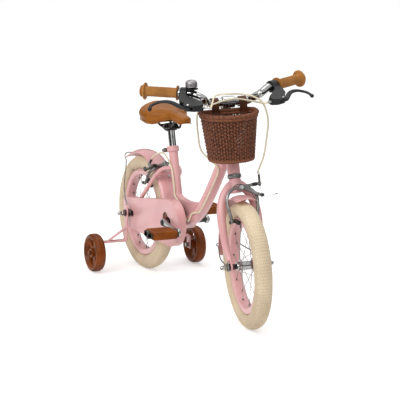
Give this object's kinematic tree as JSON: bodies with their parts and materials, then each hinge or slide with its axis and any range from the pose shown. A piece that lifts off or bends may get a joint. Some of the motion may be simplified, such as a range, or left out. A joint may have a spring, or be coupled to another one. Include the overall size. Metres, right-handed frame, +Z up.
{
  "type": "kids bicycle",
  "caption": "Child's bicycle with training wheels, a handlebar basket, fenders and a chain guard; it steers, rolls, pedals and brakes.",
  "frame": {"origin": "on the ground under the middle of the bike's box", "axes": "+X forward, +Y to the rider's left, +Z up"},
  "size_m": [1.0252, 0.4806, 0.6868],
  "materials": {
    "frame_paint": "pastel enamel, satin gloss",
    "chrome": "bright plated",
    "steel": "zinc plated, lightly worn",
    "black_plastic": "fine moulded grain",
    "grip_rubber": "soft moulded rubber",
    "saddle_cover": "soft satin cover",
    "pedal_plastic": "moulded, satin",
    "strap_leather": "cut leather",
    "trainer_plastic": "moulded, satin",
    "tyre_rubber": "cream rubber with block tread",
    "wicker": "woven willow, stained dark",
    "cable_cover": "smooth extruded cover"
  },
  "bodies": {
    "frame": {"main_frame": "frame_paint", "rear_triangle_right": "frame_paint", "rear_triangle_left": "frame_paint", "brake_bridge": "frame_paint", "headset_upper": "chrome", "headset_lower": "chrome", "seat_clamp": "frame_paint", "bottom_bracket": "steel", "chain_guard": "frame_paint", "chain": "steel", "rear_fender": "frame_paint", "rear_fender_stay": "steel", "trainer_bracket_right": "frame_paint", "trainer_bracket_left": "frame_paint", "rear_axle": "steel", "rear_brake_bolt": "steel", "rear_cable": "cable_cover"},
    "steering": {"fork": "frame_paint", "stem": "chrome", "handlebar": "chrome", "grip_right": "grip_rubber", "grip_left": "grip_rubber", "lever_bracket_right": "black_plastic", "lever_bracket_left": "black_plastic", "bell_base": "black_plastic", "bell_dome": "chrome", "basket": "wicker", "strap_right": "strap_leather", "strap_left": "strap_leather", "front_fender": "frame_paint", "front_fender_stay": "steel", "front_axle": "steel", "front_brake_bolt": "steel", "front_cable": "cable_cover"},
    "seat": {"seat_post": "chrome", "saddle_clamp": "black_plastic", "saddle": "saddle_cover"},
    "crank": {"crank_spindle": "black_plastic", "crank_right": "chrome", "crank_left": "chrome", "chainring": "steel"},
    "freewheel": {"freewheel": "steel"},
    "pedal_right": {"pedal_right": "pedal_plastic"},
    "pedal_left": {"pedal_left": "pedal_plastic"},
    "rear_wheel": {"rear_tyre": "tyre_rubber", "rear_rim": "frame_paint", "rear_hub": "chrome"},
    "front_wheel": {"front_tyre": "tyre_rubber", "front_rim": "frame_paint", "front_hub": "chrome"},
    "trainer_wheel_right": {"trainer_wheel_right": "trainer_plastic"},
    "trainer_wheel_left": {"trainer_wheel_left": "trainer_plastic"},
    "brake_lever_right": {"brake_lever_right": "black_plastic"},
    "brake_lever_left": {"brake_lever_left": "black_plastic"},
    "front_arm_pinch": {"front_brake_arm_pinch": "steel"},
    "front_arm_barrel": {"front_brake_arm_barrel": "steel"},
    "rear_arm_pinch": {"rear_brake_arm_pinch": "steel"},
    "rear_arm_barrel": {"rear_brake_arm_barrel": "steel"},
    "bell_striker": {"bell_striker": "black_plastic"}
  },
  "joints": [
    {"name": "steering", "type": "hinge", "parent": "frame", "child": "steering", "pos_m": [0.32742, 0.00707, 0.17202], "axis": [-0.3584, 0, 0.9336], "range_deg": [-48.35, 71.65], "deforming": ["rear_cable"]},
    {"name": "front_wheel_spin", "type": "hinge", "parent": "steering", "child": "front_wheel", "pos_m": [0.3384, 0.00464, 0.17623], "axis": [0.1885, 0.9794, 0.0724], "continuous": true},
    {"name": "rear_wheel_spin", "type": "hinge", "parent": "frame", "child": "rear_wheel", "pos_m": [-0.33637, 0.00707, 0.17632], "axis": [0, 1, 0], "continuous": true},
    {"name": "crank_spin", "type": "hinge", "parent": "frame", "child": "crank", "pos_m": [-0.06137, 0.00707, 0.20932], "axis": [0, 1, 0], "continuous": true},
    {"name": "freewheel_spin", "type": "hinge", "parent": "frame", "child": "freewheel", "pos_m": [-0.33637, 0.00707, 0.17632], "axis": [0, 1, 0], "continuous": true},
    {"name": "pedal_right_spin", "type": "hinge", "parent": "crank", "child": "pedal_right", "pos_m": [0.04049, -0.11643, 0.20398], "axis": [0, 1, 0], "continuous": true},
    {"name": "pedal_left_spin", "type": "hinge", "parent": "crank", "child": "pedal_left", "pos_m": [-0.16323, 0.13057, 0.21466], "axis": [0, 1, 0], "continuous": true},
    {"name": "trainer_right_spin", "type": "hinge", "parent": "frame", "child": "trainer_wheel_right", "pos_m": [-0.33637, -0.16313, 0.05832], "axis": [0, 1, 0], "continuous": true},
    {"name": "trainer_left_spin", "type": "hinge", "parent": "frame", "child": "trainer_wheel_left", "pos_m": [-0.33637, 0.17727, 0.05832], "axis": [0, 1, 0], "continuous": true},
    {"name": "brake_lever_right", "type": "hinge", "parent": "steering", "child": "brake_lever_right", "pos_m": [0.24338, -0.14504, 0.60427], "axis": [-0.3251, 0.2987, -0.8973], "range_deg": [0, 18], "stiffness_Nm_per_rad": 0.6, "springref_deg": -11.46},
    {"name": "brake_lever_left", "type": "hinge", "parent": "steering", "child": "brake_lever_left", "pos_m": [0.29373, 0.11654, 0.62359], "axis": [0.3878, 0.0271, 0.9213], "range_deg": [0, 18], "stiffness_Nm_per_rad": 0.6, "springref_deg": -11.46},
    {"name": "front_arm_pinch", "type": "hinge", "parent": "steering", "child": "front_arm_pinch", "pos_m": [0.29771, -0.00303, 0.38608], "axis": [0.9143, -0.2019, 0.351], "range_deg": [0, 1.6], "stiffness_Nm_per_rad": 1, "springref_deg": -5.73},
    {"name": "front_arm_barrel", "type": "hinge", "parent": "steering", "child": "front_arm_barrel", "pos_m": [0.29771, -0.00303, 0.38608], "axis": [-0.9143, 0.2019, -0.351], "range_deg": [0, 1.6], "stiffness_Nm_per_rad": 1, "springref_deg": -5.73, "deforming": ["front_cable"]},
    {"name": "rear_arm_pinch", "type": "hinge", "parent": "frame", "child": "rear_arm_pinch", "pos_m": [-0.20953, 0.00707, 0.3482], "axis": [-0.7133, 0, 0.7009], "range_deg": [0, 1.6], "stiffness_Nm_per_rad": 1, "springref_deg": -5.73},
    {"name": "rear_arm_barrel", "type": "hinge", "parent": "frame", "child": "rear_arm_barrel", "pos_m": [-0.20953, 0.00707, 0.3482], "axis": [0.7133, 0, -0.7009], "range_deg": [0, 1.6], "stiffness_Nm_per_rad": 1, "springref_deg": -5.73, "deforming": ["rear_cable"]},
    {"name": "seat_height", "type": "slide", "parent": "frame", "child": "seat", "axis": [-0.3173, 0, 0.9483], "range_m": [-0.035, 0.025]},
    {"name": "bell_striker", "type": "hinge", "parent": "steering", "child": "bell_striker", "pos_m": [0.18697, -0.10502, 0.64957], "axis": [-0.0069, -0.0724, 0.9974], "range_deg": [0, 20], "stiffness_Nm_per_rad": 0.01, "springref_deg": -2.86}
  ],
  "couplings": [
    {"joint": "freewheel_spin", "follows": "crank_spin", "ratio": 1.8571},
    {"joint": "front_arm_pinch", "follows": "brake_lever_right", "ratio": 0.0875},
    {"joint": "front_arm_barrel", "follows": "brake_lever_right", "ratio": 0.0875},
    {"joint": "rear_arm_pinch", "follows": "brake_lever_left", "ratio": 0.0875},
    {"joint": "rear_arm_barrel", "follows": "brake_lever_left", "ratio": 0.0875}
  ]
}
